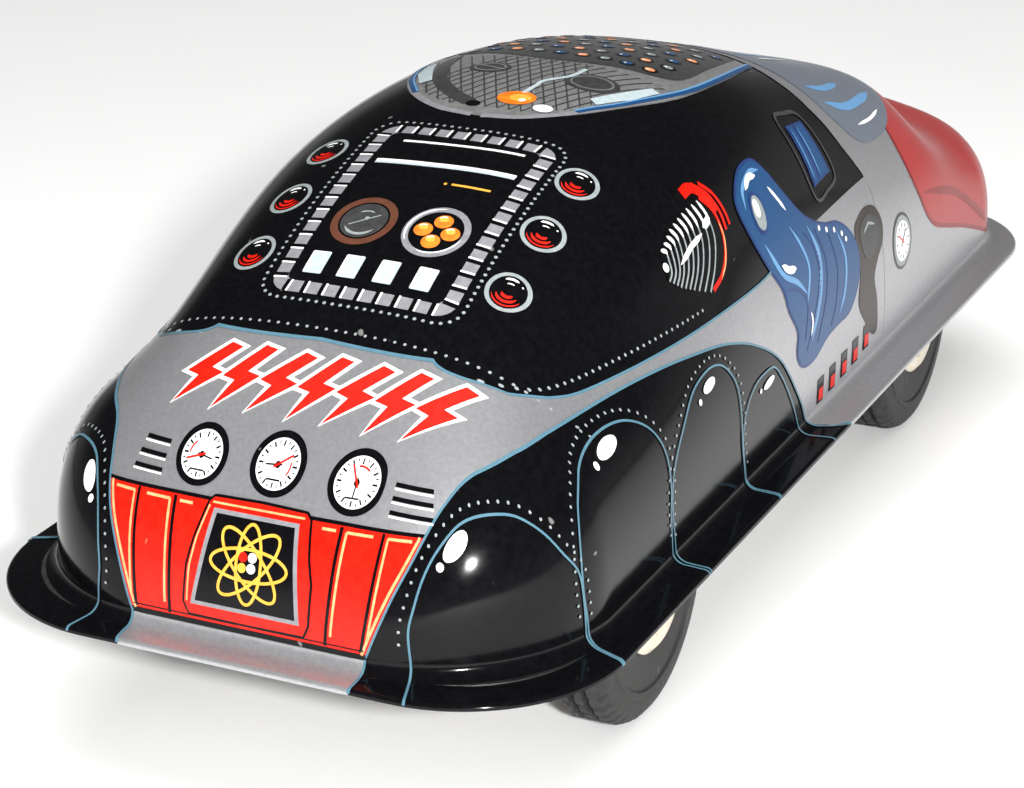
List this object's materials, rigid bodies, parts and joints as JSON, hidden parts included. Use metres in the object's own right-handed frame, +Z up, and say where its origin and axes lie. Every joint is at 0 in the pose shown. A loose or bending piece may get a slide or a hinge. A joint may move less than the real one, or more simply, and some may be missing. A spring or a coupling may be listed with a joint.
{
  "type": "wind-up toy car",
  "caption": "Streamlined clockwork toy car: pressed tin body with a flared flange over a base plate, rubber-tyred wheels, a gear-train motor and a squared winding shaft for a removable key.",
  "frame": {"origin": "on the ground, midway between the body's sides and midway along its length", "axes": "+X towards the front of the car, +Y to its left (the winding side), +Z up"},
  "size_m": [0.145, 0.06, 0.0521],
  "materials": {
    "litho_tinplate": "glossy printed tinplate",
    "bare_tinplate": "bright tinplate",
    "steel": "plated steel",
    "brass": "satin",
    "cream_plastic": "moulded, slightly aged",
    "black_rubber": "moulded rubber",
    "spring_steel": "blued strip"
  },
  "bodies": {
    "chassis": {"body_shell": "litho_tinplate", "base_plate": "bare_tinplate", "front_axle_bracket": "bare_tinplate", "bracket_rivets": "steel", "motor_plate_left": "bare_tinplate", "motor_plate_right": "bare_tinplate", "motor_rivets": "steel", "motor_pillars": "steel", "key_eyelet": "steel", "mainspring": "spring_steel", "lever_rivet": "steel"},
    "rear_wheels": {"rear_axle": "steel", "axle_pinion": "brass", "rear_axle_spacers": "steel", "rear_left_hub": "cream_plastic", "rear_left_tyre": "black_rubber", "rear_right_hub": "cream_plastic", "rear_right_tyre": "black_rubber"},
    "front_wheels": {"front_axle": "steel", "front_axle_spacers": "steel", "front_left_hub": "cream_plastic", "front_left_tyre": "black_rubber", "front_right_hub": "cream_plastic", "front_right_tyre": "black_rubber"},
    "second_shaft": {"second_arbor": "steel", "second_wheel": "brass", "second_pinion": "brass"},
    "governor": {"governor_arbor": "steel", "governor_pinion": "brass", "governor_flywheel": "steel"},
    "drive_wheel": {"great_wheel": "brass", "click_rivet": "steel", "click_spring": "spring_steel"},
    "click_pawl": {"click": "steel"},
    "winding_shaft": {"winding_arbor": "steel", "ratchet_wheel": "steel"},
    "stop_lever": {"stop_lever": "bare_tinplate"}
  },
  "joints": [
    {"name": "rear_axle_spin", "type": "hinge", "parent": "chassis", "child": "rear_wheels", "pos_m": [-0.0389, 0, 0.01275], "axis": [0, 1, 0], "continuous": true},
    {"name": "front_axle_spin", "type": "hinge", "parent": "chassis", "child": "front_wheels", "pos_m": [0.0388, 0, 0.01275], "axis": [0, 1, 0], "continuous": true},
    {"name": "second_shaft_spin", "type": "hinge", "parent": "chassis", "child": "second_shaft", "pos_m": [-0.0309, 0, 0.023], "axis": [0, 1, 0], "continuous": true},
    {"name": "governor_spin", "type": "hinge", "parent": "chassis", "child": "governor", "pos_m": [-0.0369, 0, 0.03397], "axis": [0, 1, 0], "continuous": true},
    {"name": "drive_wheel_spin", "type": "hinge", "parent": "chassis", "child": "drive_wheel", "pos_m": [-0.0174, 0, 0.02954], "axis": [0, 1, 0], "continuous": true},
    {"name": "winding_shaft_spin", "type": "hinge", "parent": "chassis", "child": "winding_shaft", "pos_m": [-0.0174, 0, 0.02954], "axis": [0, 1, 0], "continuous": true, "deforming": ["mainspring"]},
    {"name": "click_pivot", "type": "hinge", "parent": "drive_wheel", "child": "click_pawl", "pos_m": [-0.0174, 0, 0.02114], "axis": [0, 1, 0], "range_deg": [0, 6]},
    {"name": "stop_lever_pivot", "type": "hinge", "parent": "chassis", "child": "stop_lever", "pos_m": [-0.055, -0.012, 0.0148], "axis": [0, 0, 1], "range_deg": [-4, 5]}
  ],
  "couplings": [
    {"joint": "second_shaft_spin", "follows": "rear_axle_spin", "ratio": -0.3},
    {"joint": "governor_spin", "follows": "rear_axle_spin", "ratio": 1.2},
    {"joint": "drive_wheel_spin", "follows": "rear_axle_spin", "ratio": 0.075}
  ]
}
